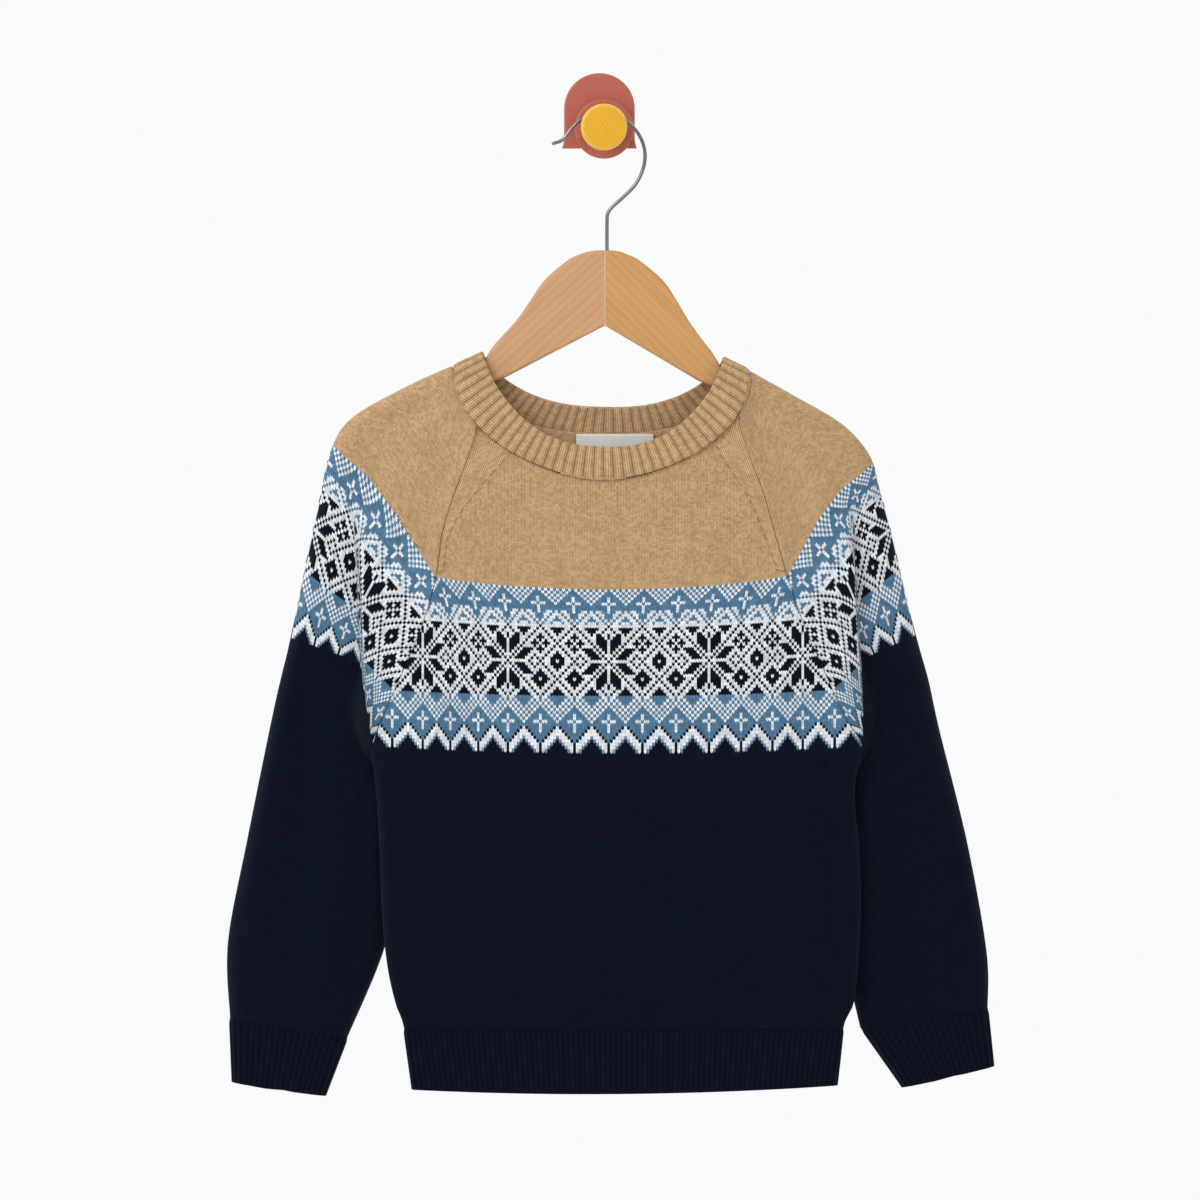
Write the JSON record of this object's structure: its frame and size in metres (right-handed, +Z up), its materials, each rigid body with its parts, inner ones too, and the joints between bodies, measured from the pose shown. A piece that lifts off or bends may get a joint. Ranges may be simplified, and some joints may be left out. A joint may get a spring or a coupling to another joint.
{
  "type": "fair isle jumper on a hanger and wall hook",
  "caption": "Knitted raglan jumper with a patterned chest band, camel yoke and ribbed neck, hem and cuffs, hung on a wooden hanger from a wall peg with a yellow cap.",
  "frame": {"origin": "on the back of the wall plate, behind the peg", "axes": "+Y out of the back of the plate into the wall, +Z up, +X to the right as seen from the front"},
  "size_m": [0.5073, 0.046, 0.6771],
  "materials": {
    "navy_knit": "matte",
    "camel_knit": "matte",
    "woven_label": "matte",
    "pale_wood": "satin",
    "warm_wood": "satin",
    "wire_steel": "polished",
    "hook_paint": "satin",
    "cap_plastic": "matte"
  },
  "bodies": {
    "root": {"front": "navy_knit", "back": "navy_knit", "sleeve_left": "navy_knit", "cuff_left": "navy_knit", "sleeve_right": "navy_knit", "cuff_right": "navy_knit", "neck_rib": "camel_knit", "hem_rib": "navy_knit", "neck_label": "woven_label", "hanger_half_left": "pale_wood", "hanger_half_right": "warm_wood", "hanger_wire": "wire_steel", "wall_plate": "hook_paint", "wall_collar": "hook_paint", "wall_peg": "hook_paint", "peg_cap": "cap_plastic"}
  },
  "joints": []
}
